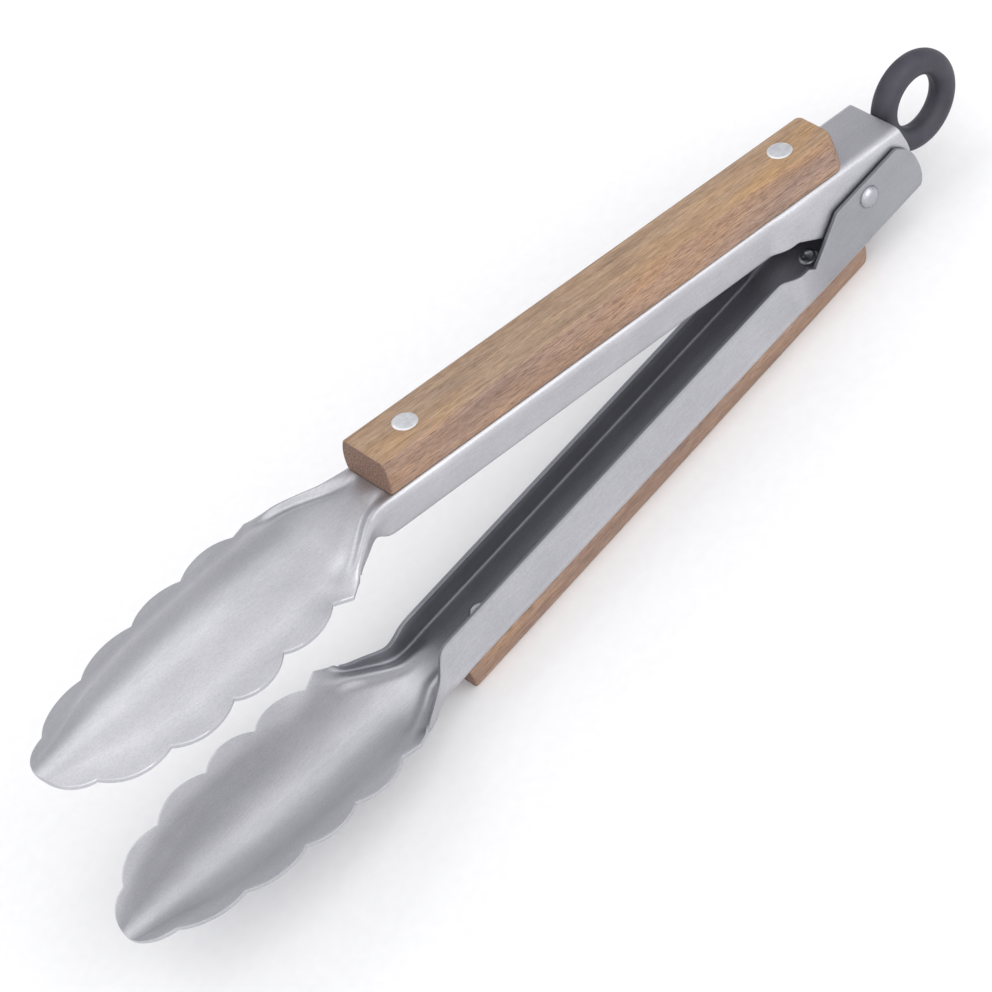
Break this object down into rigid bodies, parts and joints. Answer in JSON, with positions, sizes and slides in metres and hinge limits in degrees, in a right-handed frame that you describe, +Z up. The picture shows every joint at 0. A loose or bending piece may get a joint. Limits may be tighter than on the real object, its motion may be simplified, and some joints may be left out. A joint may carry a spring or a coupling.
{
  "type": "spring loaded kitchen tongs",
  "caption": "Kitchen tongs: sheet metal arms with scalloped scoop ends and wooden grips, sprung open about a rivet, with a ring that slides out to lock them closed.",
  "frame": {"origin": "centre of the footprint on the surface that the lower grip rests on, with the arms open", "axes": "+X along the lower arm from the scoops to the hinge and ring, +Y along the pivot, +Z up through the upper arm"},
  "size_m": [0.2386, 0.0348, 0.0675],
  "materials": {
    "stainless": "satin brushed",
    "grip_wood": "lightly oiled",
    "rivet_aluminium": "satin",
    "polished_steel": "polished",
    "plain_steel": "plain",
    "spring_steel": "drawn wire",
    "ring_plastic": "matte"
  },
  "bodies": {
    "lower": {"lower_arm": "stainless", "lower_grip": "grip_wood", "lower_grip_rivet_front": "rivet_aluminium", "lower_grip_rivet_rear": "rivet_aluminium", "pivot_rivet": "polished_steel", "pivot_sleeve": "plain_steel", "torsion_spring": "spring_steel"},
    "upper": {"upper_arm": "stainless", "upper_grip": "grip_wood", "upper_grip_rivet_front": "rivet_aluminium", "upper_grip_rivet_rear": "rivet_aluminium"},
    "lock": {"lock_plate": "plain_steel", "lock_pin": "plain_steel", "ring_pin": "plain_steel", "pull_ring": "ring_plastic"}
  },
  "joints": [
    {"name": "arm_hinge", "type": "hinge", "parent": "lower", "child": "upper", "pos_m": [0.08514, 0, 0.0178], "axis": [0, -1, 0], "range_deg": [0, 12.4], "stiffness_Nm_per_rad": 1.1, "springref_deg": -15.47, "deforming": ["torsion_spring"]},
    {"name": "lock_slide", "type": "slide", "parent": "lower", "child": "lock", "axis": [1, 0, 0], "range_m": [0, 0.0055]}
  ]
}
